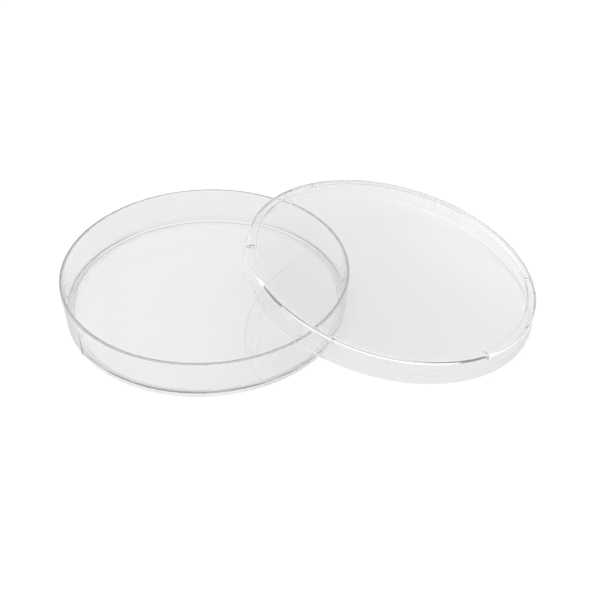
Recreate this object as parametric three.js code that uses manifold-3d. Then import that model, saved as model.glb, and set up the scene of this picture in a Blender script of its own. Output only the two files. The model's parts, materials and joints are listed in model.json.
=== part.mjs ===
// A disposable plastic petri dish, 90 mm size: a shallow round dish standing open side up, and its
// loose-fitting vented lid leaning on it, with the far edge of the lid on the bench.
// Millimetres, +Z up. The lid lies towards +X. The origin is the centre of the whole object's box, at its base.

import * as THREE from "three";
import { mergeVertices } from "three/addons/utils/BufferGeometryUtils.js";
import Module from "manifold-3d";

// Driving dimensions of the dish
const dish = {
  rimRadius: 43.1, // outside of the rim
  footRadius: 42.45, // outside of the wall at the foot, so that the part leaves its mould
  height: 12.8,
  wall: 0.95,
  floor: 1.0,
  footRingInner: 40.2, // the flat ring under the floor that the dish stands on
  footRingOuter: 41.4,
  footRingHeight: 0.35, // the floor and the outer corner are this far above the bench
  footCorner: 0.45,
  floorFillet: 1.6, // between the floor and the wall, inside
  linesFromRim: 3.0, // the mould's parting line, below the rim
};

// Driving dimensions of the lid, in its own frame: mouth at z = 0, plate above it
const lid = {
  rimRadius: 44.85, // outside of the skirt at its mouth
  plateRadius: 44.1, // outside of the skirt at the plate
  height: 7.45,
  wall: 0.85,
  plate: 0.95,
  stackRingInner: 41.5, // the raised ring on top, which the foot of another dish settles on
  stackRingHeight: 0.35,
  outerCorner: 0.8,
  innerFillet: 0.4,
  linesFromRim: 3.1, // the mould's parting line, above the mouth
};

// The vent nubs under the plate, which hold the lid off the dish's rim so that air gets in
const nub = {
  count: 6,
  turn: 3, // degrees from +X to the first one
  length: 1.7, // along the radius
  width: 0.8,
  height: 0.5,
  sunk: 0.3, // how far each reaches into the plate and into the skirt
};

// How the lid leans: the middle of its mouth is this far from the dish's axis, seen from above
const lean = { reach: 54.9, gap: 0.3 };

const partingStep = 0.08; // the wall is this much proud between the parting line and the rim
const ringSlope = 0.3; // the width of the sloping sides of the foot ring and of the stacking ring
const segments = 80;

// Points of a round stretch of an outline, its angles in degrees, with both ends
function arc(centreR, centreZ, radius, from, to, steps) {
  return Array.from({ length: steps + 1 }, (_, i) => {
    const angle = THREE.MathUtils.degToRad(from + ((to - from) * i) / steps);
    return new THREE.Vector2(centreR + radius * Math.cos(angle), centreZ + radius * Math.sin(angle));
  });
}

function point(r, z) {
  return new THREE.Vector2(r, z);
}

// A closed body turned about +Z from an outline that starts and ends on the axis
function turned(outline) {
  const geometry = new THREE.LatheGeometry(outline, segments);
  geometry.rotateX(Math.PI / 2);
  return geometry;
}

// The radius of a drafted wall at height z, between two known radii
function drafted(z, lowZ, lowR, highZ, highR) {
  return lowR + ((highR - lowR) * (z - lowZ)) / (highZ - lowZ);
}

function dishOutline() {
  const d = dish;
  const rimRound = d.wall / 2;
  const outside = (z) => drafted(z, 0, d.footRadius, d.height, d.rimRadius - partingStep);
  const partingZ = d.height - d.linesFromRim;
  const floorTop = d.footRingHeight + d.floor;
  const filletTop = floorTop + d.floorFillet;
  const filletR = outside(filletTop) - d.wall;
  return [
    point(0, d.footRingHeight),
    point(d.footRingInner - ringSlope, d.footRingHeight),
    point(d.footRingInner, 0),
    point(d.footRingOuter, 0),
    point(d.footRingOuter + ringSlope, d.footRingHeight),
    ...arc(d.footRadius - d.footCorner, d.footRingHeight + d.footCorner, d.footCorner, -90, 0, 3),
    point(outside(partingZ), partingZ),
    point(outside(partingZ) + partingStep, partingZ + partingStep),
    ...arc(d.rimRadius - rimRound, d.height - rimRound, rimRound, 0, 180, 6),
    ...arc(filletR - d.floorFillet, filletTop, d.floorFillet, 0, -90, 4),
    point(0, floorTop),
  ];
}

function lidOutline() {
  const l = lid;
  const rimRound = l.wall / 2;
  const outside = (z) => drafted(z, 0, l.rimRadius - partingStep, l.height, l.plateRadius);
  const partingZ = l.linesFromRim;
  const underside = l.height - l.stackRingHeight - l.plate;
  const filletBottom = underside - l.innerFillet;
  const filletR = outside(filletBottom) - l.wall;
  return [
    point(0, underside),
    ...arc(filletR - l.innerFillet, filletBottom, l.innerFillet, 90, 0, 3),
    ...arc(l.rimRadius - rimRound, rimRound, rimRound, 180, 360, 6),
    point(outside(partingZ) + partingStep, partingZ - partingStep),
    point(outside(partingZ), partingZ),
    ...arc(l.plateRadius - l.outerCorner, l.height - l.outerCorner, l.outerCorner, 0, 90, 4),
    point(l.stackRingInner, l.height),
    point(l.stackRingInner - ringSlope, l.height - l.stackRingHeight),
    point(0, l.height - l.stackRingHeight),
  ];
}

// One vent nub: a small block in the corner between the plate's underside and the skirt
function nubGeometry(index) {
  const underside = lid.height - lid.stackRingHeight - lid.plate;
  const skirtInside = drafted(underside, 0, lid.rimRadius, lid.height, lid.plateRadius) - lid.wall;
  const outerEnd = skirtInside + nub.sunk;
  const geometry = new THREE.BoxGeometry(nub.length + nub.sunk, nub.width, nub.height + nub.sunk);
  geometry.translate(
    outerEnd - (nub.length + nub.sunk) / 2,
    0,
    underside + nub.sunk - (nub.height + nub.sunk) / 2,
  );
  geometry.rotateZ(THREE.MathUtils.degToRad(nub.turn + (360 * index) / nub.count));
  return geometry;
}

const wasm = await Module();
wasm.setup();

function toSolid(geometry) {
  const bare = geometry.clone();
  bare.deleteAttribute("normal");
  bare.deleteAttribute("uv");
  const merged = mergeVertices(bare);
  return new wasm.Manifold(
    new wasm.Mesh({
      numProp: 3,
      vertProperties: merged.attributes.position.array,
      triVerts: new Uint32Array(merged.index.array),
    }),
  );
}

function toGeometry(solid) {
  const mesh = solid.getMesh();
  const geometry = new THREE.BufferGeometry();
  geometry.setAttribute("position", new THREE.BufferAttribute(mesh.vertProperties, 3));
  geometry.setIndex(new THREE.BufferAttribute(mesh.triVerts, 1));
  geometry.computeVertexNormals();
  return geometry;
}

function clearPlastic() {
  return new THREE.MeshStandardMaterial({
    color: 0xf1f3f3,
    roughness: 0.06,
    metalness: 0,
    transparent: true,
    opacity: 0.3,
  });
}

function makeDish() {
  const mesh = new THREE.Mesh(turned(dishOutline()), clearPlastic());
  mesh.name = "dish";
  return mesh;
}

function makeLid() {
  let solid = toSolid(turned(lidOutline()));
  for (let i = 0; i < nub.count; i++) {
    solid = solid.add(toSolid(nubGeometry(i)));
  }
  const mesh = new THREE.Mesh(toGeometry(solid), clearPlastic());
  mesh.name = "lid";
  return mesh;
}

// The tilt at which the lid touches the bench at its far edge and the dish's rim at two places.
// Both rims are round in section, so each is a circle with a thickness: the lid's circle has to
// pass over the dish's circle with both thicknesses and the gap between them.
function leaningTilt() {
  const lidRound = lid.wall / 2;
  const dishRound = dish.wall / 2;
  const lidCircle = lid.rimRadius - lidRound;
  const dishCircle = dish.rimRadius - dishRound;
  const crossingHeight = dish.height + lidRound + lean.gap;
  const distancePastRim = (tilt) => {
    const fall = lidCircle * Math.sin(tilt);
    const cosine = Math.max(-1, 1 - (crossingHeight - lidRound) / fall);
    const across = lidCircle * Math.sqrt(1 - cosine * cosine);
    return Math.hypot(lean.reach + lidCircle * Math.cos(tilt) * cosine, across) - dishCircle;
  };
  let low = THREE.MathUtils.degToRad(3);
  let high = THREE.MathUtils.degToRad(25);
  for (let i = 0; i < 50; i++) {
    const middle = (low + high) / 2;
    if (distancePastRim(middle) < 0) {
      low = middle;
    } else {
      high = middle;
    }
  }
  return (low + high) / 2;
}

function leaningLid() {
  const lidRound = lid.wall / 2;
  const tilt = leaningTilt();
  const circleHeight = (lid.rimRadius - lidRound) * Math.sin(tilt) + lidRound;
  const group = new THREE.Group();
  group.rotation.y = tilt;
  group.position.set(
    lean.reach - lidRound * Math.sin(tilt),
    0,
    circleHeight - lidRound * Math.cos(tilt),
  );
  group.add(makeLid());
  return group;
}

const assembly = new THREE.Group();
assembly.add(makeDish(), leaningLid());
const box = new THREE.Box3().setFromObject(assembly, true);
const middle = box.getCenter(new THREE.Vector3());
assembly.position.set(-middle.x, -middle.y, -box.min.z);

const petriDish = new THREE.Group();
petriDish.add(assembly);

export default petriDish;
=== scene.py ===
"""A 90 mm petri dish of clear polystyrene with its vented lid leaning on it, on a white bench."""

import json
import math

import bpy
from mathutils import Matrix, Vector


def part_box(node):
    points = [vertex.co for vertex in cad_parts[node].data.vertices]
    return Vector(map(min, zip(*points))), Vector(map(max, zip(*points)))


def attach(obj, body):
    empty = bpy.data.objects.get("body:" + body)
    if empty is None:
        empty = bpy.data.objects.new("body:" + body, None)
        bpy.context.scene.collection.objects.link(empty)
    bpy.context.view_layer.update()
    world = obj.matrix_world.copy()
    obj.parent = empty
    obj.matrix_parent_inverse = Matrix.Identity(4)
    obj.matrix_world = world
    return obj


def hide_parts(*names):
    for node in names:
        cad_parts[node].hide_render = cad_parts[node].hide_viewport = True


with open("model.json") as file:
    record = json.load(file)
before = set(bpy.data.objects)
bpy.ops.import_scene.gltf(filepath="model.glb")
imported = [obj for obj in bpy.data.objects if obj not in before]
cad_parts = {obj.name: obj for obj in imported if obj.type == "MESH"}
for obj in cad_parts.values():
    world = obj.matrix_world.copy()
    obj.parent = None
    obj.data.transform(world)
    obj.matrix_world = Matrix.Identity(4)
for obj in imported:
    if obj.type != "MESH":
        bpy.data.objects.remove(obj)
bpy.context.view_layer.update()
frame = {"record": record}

MM = 0.001

# The dish, in millimetres from the bench, as in the CAD
DISH_RIM_R = 43.1
DISH_FOOT_R = 42.45
DISH_HEIGHT = 12.8
DISH_WALL = 0.95
DISH_FLOOR = 1.0
FOOT_RING_INNER = 40.2
FOOT_RING_OUTER = 41.4
FOOT_RING_HEIGHT = 0.35
FOOT_CORNER = 0.44
FLOOR_FILLET = 1.6
DISH_PARTING = 3.0

# The lid, in millimetres from its mouth
LID_RIM_R = 44.85
LID_PLATE_R = 44.1
LID_HEIGHT = 7.45
LID_WALL = 0.85
LID_PLATE = 0.95
STACK_RING_R = 41.5
STACK_RING_HEIGHT = 0.35
LID_CORNER = 0.8
LID_FILLET = 0.4
LID_PARTING = 3.1
NUB_COUNT = 6
NUB_FIRST = 3.0
NUB_LENGTH = 1.7
NUB_WIDTH = 0.8
NUB_HEIGHT = 0.5

# Both mouldings
RING_SLOPE = 0.3
PARTING_STEP = 0.08
PARTING_ROUND = 0.03
RIM_ROUND_SHORT = 0.005  # a rim's two rounds stop this far short of meeting
COLUMNS = 360  # mesh columns round the axis, before those that the small features add
SHARP_ANGLE = 32  # edges steeper than this stay sharp, in degrees


# ---------------------------------------------------------------- outlines

def drafted(z, low_z, low_r, high_z, high_r):
    """The radius of a drafted wall at height z."""
    return low_r + (high_r - low_r) * (z - low_z) / (high_z - low_z)


def rounded(corners, guard=0.06, turn=9.0):
    """An outline through corners (r, z, radius), each rounded, with guard points beside the round."""
    points = [Vector(corners[0][:2])]
    for before, corner, after in zip(corners, corners[1:], corners[2:]):
        p = Vector(corner[:2])
        u = Vector(before[:2]) - p
        v = Vector(after[:2]) - p
        room_u, room_v = u.length, v.length
        u.normalize()
        v.normalize()
        half = u.angle(v) / 2
        radius = corner[2]
        tangent = radius / math.tan(half)
        start, end = p + u * tangent, p + v * tangent
        centre = p + (u + v).normalized() * (radius / math.sin(half))
        if room_u > tangent + 3 * guard:
            points.append(start + u * guard)
        swept = math.pi - 2 * half
        steps = max(2, round(math.degrees(swept) / turn))
        a = start - centre
        sign = 1 if a.x * (end - centre).y - a.y * (end - centre).x > 0 else -1
        for i in range(steps + 1):
            angle = sign * swept * i / steps
            c, s = math.cos(angle), math.sin(angle)
            points.append(centre + Vector((a.x * c - a.y * s, a.x * s + a.y * c)))
        if room_v > tangent + 3 * guard:
            points.append(end + v * guard)
    points.append(Vector(corners[-1][:2]))
    return points


def dish_outline():
    def outside(z):
        return drafted(z, 0, DISH_FOOT_R, DISH_HEIGHT, DISH_RIM_R - PARTING_STEP)
    parting = DISH_HEIGHT - DISH_PARTING
    floor_top = FOOT_RING_HEIGHT + DISH_FLOOR
    rim_round = DISH_WALL / 2 - RIM_ROUND_SHORT
    return rounded([
        (0, FOOT_RING_HEIGHT, 0),
        (FOOT_RING_INNER - RING_SLOPE, FOOT_RING_HEIGHT, 0.1),
        (FOOT_RING_INNER, 0, 0.1),
        (FOOT_RING_OUTER, 0, 0.1),
        (FOOT_RING_OUTER + RING_SLOPE, FOOT_RING_HEIGHT, 0.05),
        (outside(FOOT_RING_HEIGHT), FOOT_RING_HEIGHT, FOOT_CORNER),
        (outside(parting), parting, PARTING_ROUND),
        (outside(parting) + PARTING_STEP, parting + PARTING_STEP, PARTING_ROUND),
        (DISH_RIM_R, DISH_HEIGHT, rim_round),
        (DISH_RIM_R - DISH_WALL, DISH_HEIGHT, rim_round),
        (outside(floor_top) - DISH_WALL, floor_top, FLOOR_FILLET),
        (0, floor_top, 0),
    ])


def lid_underside():
    return LID_HEIGHT - STACK_RING_HEIGHT - LID_PLATE


def lid_outside(z):
    return drafted(z, 0, LID_RIM_R - PARTING_STEP, LID_HEIGHT, LID_PLATE_R)


def lid_outline():
    underside = lid_underside()
    nub_end = lid_outside(underside) - LID_WALL - NUB_LENGTH
    rim_round = LID_WALL / 2 - RIM_ROUND_SHORT
    points = rounded([
        (0, underside, 0),
        (lid_outside(underside) - LID_WALL, underside, LID_FILLET),
        (LID_RIM_R - LID_WALL, 0, rim_round),
        (LID_RIM_R, 0, rim_round),
        (lid_outside(LID_PARTING) + PARTING_STEP, LID_PARTING - PARTING_STEP, PARTING_ROUND),
        (lid_outside(LID_PARTING), LID_PARTING, PARTING_ROUND),
        (LID_PLATE_R, LID_HEIGHT, LID_CORNER),
        (STACK_RING_R, LID_HEIGHT, 0.12),
        (STACK_RING_R - RING_SLOPE, LID_HEIGHT - STACK_RING_HEIGHT, 0.12),
        (0, LID_HEIGHT - STACK_RING_HEIGHT, 0),
    ])
    extra = [Vector((nub_end + d, underside)) for d in (-0.12, -0.04, 0.04, 0.12)]
    return points[:1] + extra + points[1:]


# ---------------------------------------------------------------- meshes

def columns(features):
    """Angles round the axis, closer at each feature (angle, half-width, softness), in degrees."""
    angles = [(360.0 * i / COLUMNS, False) for i in range(COLUMNS)]
    for middle, half, soft in features:
        for d in (-half - soft, -half, half, half + soft):
            angles.append(((middle + d) % 360, True))
    angles.sort()
    kept = []
    for angle, fixed in angles:
        if kept and angle - kept[-1][0] < 0.04:
            if fixed and not kept[-1][1]:
                kept[-1] = (angle, fixed)
            continue
        kept.append((angle, fixed))
    return [a for a, _ in kept]


def turned(name, outline, angles, shape, place):
    """One closed mesh turned about +Z. shape(r, z, angle) may move a point; place is its frame."""
    vertices, faces = [], []
    rings = []
    for p in outline:
        if p.x < 1e-6:
            rings.append([len(vertices)])
            vertices.append((0, 0, p.y * MM))
            continue
        ring = []
        for angle in angles:
            r, z = shape(p.x, p.y, angle)
            t = math.radians(angle)
            ring.append(len(vertices))
            vertices.append((r * math.cos(t) * MM, r * math.sin(t) * MM, z * MM))
        rings.append(ring)
    n = len(angles)
    for a, b in zip(rings, rings[1:]):
        for j in range(n):
            k = (j + 1) % n
            if len(a) == 1:
                faces.append((a[0], b[k], b[j]))
            elif len(b) == 1:
                faces.append((a[j], a[k], b[0]))
            else:
                faces.append((a[j], a[k], b[k], b[j]))
    mesh = bpy.data.meshes.new(name)
    mesh.from_pydata(vertices, [], faces)
    mesh.validate()
    mesh.shade_smooth()
    mesh.set_sharp_from_angle(angle=math.radians(SHARP_ANGLE))
    mesh.transform(place)
    piece = bpy.data.objects.new(name, mesh)
    bpy.context.scene.collection.objects.link(piece)
    return piece


def window(x, half, soft):
    """1 within half of 0, falling to 0 over soft."""
    return min(1.0, max(0.0, (half + soft - abs(x)) / soft))


def apart(angle, middle):
    return (angle - middle + 180) % 360 - 180


# The small marks that moulding leaves: (angle, half-width in degrees, low z, high z, how proud)
DISH_TICKS = [(-143.5, 0.45, 0.5, 2.0, 0.16)]
SOFT = 0.08


def dish_shape(r, z, angle):
    if r > DISH_FOOT_R - 0.2 and z < DISH_HEIGHT - DISH_PARTING:
        for middle, half, low, high, proud in DISH_TICKS:
            up = window(z - (low + high) / 2, (high - low) / 2, 0.3)
            r += proud * up * window(apart(angle, middle), half, SOFT)
    return r, z


NUB_ANGLES = [NUB_FIRST + 360.0 * i / NUB_COUNT for i in range(NUB_COUNT)]
NUB_HALF = math.degrees(NUB_WIDTH / 2 / 42.3)
NUB_SOFT = 0.06


def lid_shape(r, z, angle):
    underside = lid_underside()
    inner_wall = r < LID_RIM_R - LID_WALL / 2 and z <= underside + 1e-6
    if not inner_wall:
        return r, z
    near = max(window(apart(angle, a), NUB_HALF, NUB_SOFT) for a in NUB_ANGLES)
    if near == 0:
        return r, z
    nub_end = lid_outside(underside) - LID_WALL - NUB_LENGTH
    along = min(1.0, max(0.0, (r - (nub_end - 0.04)) / 0.08))
    down = NUB_HEIGHT * near * along * min(1.0, max(0.0, (z - (underside - 2.0)) / 1.4))
    if z < underside - 0.3:  # down the skirt's inside, which is drafted
        r += down * (lid_outside(0) - lid_outside(LID_HEIGHT)) / LID_HEIGHT
    return r, z - down


# ---------------------------------------------------------------- materials

BENCH_WHITE = 0.84
BENCH_PAINTED_BRIGHTER = 1.28  # painted brightness: how much brighter the bench's colour is painted where the camera sees it directly
POLYSTYRENE_INDEX = 1.59
ABSORPTION = 8.0  # per metre of plastic


def add(tree, kind, inputs=None, **settings):
    """A new node, with its settings and its inputs, each a value or a socket to link."""
    node = tree.nodes.new(kind)
    for key, value in settings.items():
        setattr(node, key, value)
    for key, value in (inputs or {}).items():
        if isinstance(value, bpy.types.NodeSocket):
            tree.links.new(value, node.inputs[key])
        else:
            node.inputs[key].default_value = value
    return node


def clear_polystyrene(name, seed):
    """Moulded polystyrene: clear, glossy, faintly wavy, with the fine scratches of handling."""
    material = bpy.data.materials.new(name)
    material.use_nodes = True
    tree = material.node_tree
    tree.nodes.clear()
    place = add(tree, "ShaderNodeTexCoord").outputs["Object"]
    spread = add(tree, "ShaderNodeMapping", {"Vector": place, "Location": (seed, seed * 0.7, 0)})
    here = spread.outputs["Vector"]
    haze = add(tree, "ShaderNodeTexNoise", {"Vector": here, "Scale": 90.0, "Detail": 3.0})
    scratch = add(tree, "ShaderNodeTexNoise", {
        "Vector": here, "Scale": 420.0, "Detail": 6.0, "Roughness": 0.7, "Distortion": 1.6})
    line = add(tree, "ShaderNodeMapRange", {
        "Value": scratch.outputs["Fac"], "From Min": 0.496, "From Max": 0.504,
        "To Min": 0.0, "To Max": 1.0})
    ridge = add(tree, "ShaderNodeMath", {0: line.outputs["Result"], 1: 0.5}, operation="SUBTRACT")
    ridge = add(tree, "ShaderNodeMath", {0: ridge.outputs[0]}, operation="ABSOLUTE")
    ridge = add(tree, "ShaderNodeMapRange", {
        "Value": ridge.outputs[0], "From Min": 0.0, "From Max": 0.5,
        "To Min": 0.015, "To Max": 0.0})
    rough = add(tree, "ShaderNodeMapRange", {
        "Value": haze.outputs["Fac"], "From Min": 0.35, "From Max": 0.75,
        "To Min": 0.003, "To Max": 0.012})
    rough = add(tree, "ShaderNodeMath", {
        0: rough.outputs["Result"], 1: ridge.outputs["Result"]}, operation="ADD")
    flow = add(tree, "ShaderNodeTexNoise", {"Vector": here, "Scale": 110.0, "Detail": 2.0})
    bump = add(tree, "ShaderNodeBump", {
        "Strength": 1.0, "Distance": 0.0000008, "Height": flow.outputs["Fac"]})
    shader = add(tree, "ShaderNodeBsdfPrincipled", {
        "Base Color": (1.0, 1.0, 1.0, 1.0),
        "Roughness": rough.outputs[0],
        "IOR": POLYSTYRENE_INDEX,
        "Transmission Weight": 1.0,
        "Normal": bump.outputs["Normal"],
    })
    tinge = add(tree, "ShaderNodeVolumeAbsorption", {
        "Color": (0.0, 0.0, 0.0, 1.0), "Density": ABSORPTION})
    add(tree, "ShaderNodeOutputMaterial", {
        "Surface": shader.outputs["BSDF"], "Volume": tinge.outputs["Volume"]})
    return material


def bench_white():
    """A white bench. Where the camera sees it directly, its colour is painted brighter than its light makes
    it, so it shows as plain white and faint shadows on it wash out.
    """
    material = bpy.data.materials.new("bench_white")
    material.use_nodes = True
    tree = material.node_tree
    tree.nodes.clear()
    place = add(tree, "ShaderNodeTexCoord").outputs["Object"]
    grain = add(tree, "ShaderNodeTexNoise", {"Vector": place, "Scale": 900.0, "Detail": 2.0})
    paper = add(tree, "ShaderNodeMapRange", {
        "Value": grain.outputs["Fac"],
        "To Min": BENCH_WHITE - 0.005, "To Max": BENCH_WHITE + 0.005})
    # painted brightness: the bench seen directly by the camera gets a brighter colour than the bench seen
    # through the plastic or in its reflections
    direct = add(tree, "ShaderNodeLightPath").outputs["Is Camera Ray"]
    painted_brighter = add(tree, "ShaderNodeMapRange", {"Value": direct, "To Min": 1.0, "To Max": BENCH_PAINTED_BRIGHTER})
    white = add(tree, "ShaderNodeMath", {
        0: paper.outputs["Result"], 1: painted_brighter.outputs["Result"]}, operation="MULTIPLY")
    shader = add(tree, "ShaderNodeBsdfPrincipled", {
        "Base Color": white.outputs[0], "Roughness": 1.0, "Specular IOR Level": 0.0})
    add(tree, "ShaderNodeOutputMaterial", {"Surface": shader.outputs["BSDF"]})
    return material


# ---------------------------------------------------------------- pieces

mounts = {m["name"]: m for m in frame["record"]["mounts"]}
dish_low, dish_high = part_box("dish")
dish_middle = Vector(((dish_low.x + dish_high.x) / 2, (dish_low.y + dish_high.y) / 2, 0))

lid_z = Vector(mounts["lid_top"]["axis"]).normalized()
lid_y = Vector((0, 1, 0))
lid_x = lid_y.cross(lid_z).normalized()
lid_turn = Matrix((lid_x, lid_y, lid_z)).transposed()
lid_mark = Vector((0, -42.4, LID_HEIGHT)) * MM
lid_origin = Vector(mounts["lid_top"]["pos_m"]) - lid_turn @ lid_mark

dish_angles = columns([(a, h, SOFT) for a, h, *_ in DISH_TICKS])
dish_place = Matrix.Translation(dish_middle)
dish = turned("dish_clear", dish_outline(), dish_angles, dish_shape, dish_place)
dish.data.materials.append(clear_polystyrene("clear_dish", 0.3))
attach(dish, "dish_body")
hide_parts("dish")

lid_angles = columns([(a, NUB_HALF, NUB_SOFT) for a in NUB_ANGLES])
lid_place = Matrix.Translation(lid_origin) @ lid_turn.to_4x4()
lid = turned("lid_clear", lid_outline(), lid_angles, lid_shape, lid_place)
lid.data.materials.append(clear_polystyrene("clear_lid", 1.9))
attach(lid, "lid_body")
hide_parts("lid")

bench_mesh = bpy.data.meshes.new("bench")
bench_mesh.from_pydata([(-4, -4, 0), (4, -4, 0), (4, 4, 0), (-4, 4, 0)], [], [(0, 1, 2, 3)])
bench = bpy.data.objects.new("bench", bench_mesh)
bench.location.z = -0.00002
bpy.context.scene.collection.objects.link(bench)
bench_mesh.materials.append(bench_white())


# ---------------------------------------------------------------- light

def facing(azimuth, elevation):
    """The direction at an azimuth from +X, anticlockwise from above, and an elevation, in degrees."""
    a, e = math.radians(azimuth), math.radians(elevation)
    return Vector((math.cos(a) * math.cos(e), math.sin(a) * math.cos(e), math.sin(e)))


world = bpy.data.worlds.new("studio")
bpy.context.scene.world = world
world.use_nodes = True
sky = world.node_tree
sky.nodes.clear()
direction = add(sky, "ShaderNodeTexCoord").outputs["Generated"]
height = add(sky, "ShaderNodeSeparateXYZ", {"Vector": direction}).outputs["Z"]


def glow(azimuth, elevation, core, edge, strength):
    """A round softbox far away: full strength within core degrees, none beyond edge degrees."""
    toward = add(sky, "ShaderNodeVectorMath", {
        0: direction, 1: facing(azimuth, elevation)}, operation="DOT_PRODUCT")
    return add(sky, "ShaderNodeMapRange", {
        "Value": toward.outputs["Value"],
        "From Min": math.cos(math.radians(edge)), "From Max": math.cos(math.radians(core)),
        "To Min": 0.0, "To Max": strength}, interpolation_type="SMOOTHSTEP").outputs["Result"]


SKY_LOW = 1.16
SKY_HIGH = 1.44
level = add(sky, "ShaderNodeMapRange", {
    "Value": height, "From Min": 0.0, "From Max": 0.9, "To Min": SKY_LOW, "To Max": SKY_HIGH},
    interpolation_type="SMOOTHSTEP").outputs["Result"]
LAMPS = [
    (64, 18, 5, 14, 0.6),  # behind on the right, for the bright line along the lid's front corner
    (72, 46, 8, 20, -0.6),  # a dimmer patch above it, which the lid's plate mirrors
    (180, 0, 20, 40, -1.1),  # dim low sides, for the dark edges on the left and right
    (0, 0, 20, 40, -1.1),
]
for lamp in LAMPS:
    level = add(sky, "ShaderNodeMath", {0: level, 1: glow(*lamp)}, operation="ADD").outputs[0]
backdrop = add(sky, "ShaderNodeBackground", {"Strength": level})
add(sky, "ShaderNodeOutputWorld", {"Surface": backdrop.outputs["Background"]})


# ---------------------------------------------------------------- camera

CAMERA_AZIMUTH = 5.47
CAMERA_ELEVATION = 38.82
CAMERA_DISTANCE = 316.0
CAMERA_YAW = 6.64
CAMERA_PITCH = 38.90
CAMERA_ROLL = 0.95
CAMERA_LENS = 61.55

around, above = math.radians(CAMERA_AZIMUTH), math.radians(CAMERA_ELEVATION)
seat = CAMERA_DISTANCE * MM * Vector((
    math.sin(around) * math.cos(above), -math.cos(around) * math.cos(above), math.sin(above)))
yaw, pitch = math.radians(CAMERA_YAW - CAMERA_AZIMUTH), math.radians(CAMERA_PITCH)
ahead = Vector((math.sin(yaw) * math.cos(pitch), math.cos(yaw) * math.cos(pitch), -math.sin(pitch)))
level_right = ahead.cross(Vector((0, 0, 1))).normalized()
level_up = level_right.cross(ahead)
roll = math.radians(CAMERA_ROLL)
right = level_right * math.cos(roll) + level_up * math.sin(roll)
up = level_up * math.cos(roll) - level_right * math.sin(roll)
camera_data = bpy.data.cameras.new("camera")
camera_data.sensor_width = 36.0
camera_data.lens = CAMERA_LENS
camera_data.clip_start = 0.01
camera_data.clip_end = 20.0
camera = bpy.data.objects.new("camera", camera_data)
bpy.context.scene.collection.objects.link(camera)
camera.matrix_world = (
    Matrix.Translation(dish_middle + seat) @ Matrix((right, up, -ahead)).transposed().to_4x4())
bpy.context.scene.camera = camera

scene = bpy.context.scene
scene.view_settings.view_transform = "Standard"
scene.cycles.max_bounces = 128
scene.cycles.transmission_bounces = 128
scene.cycles.glossy_bounces = 128
scene.cycles.diffuse_bounces = 4
scene.cycles.blur_glossy = 0.0
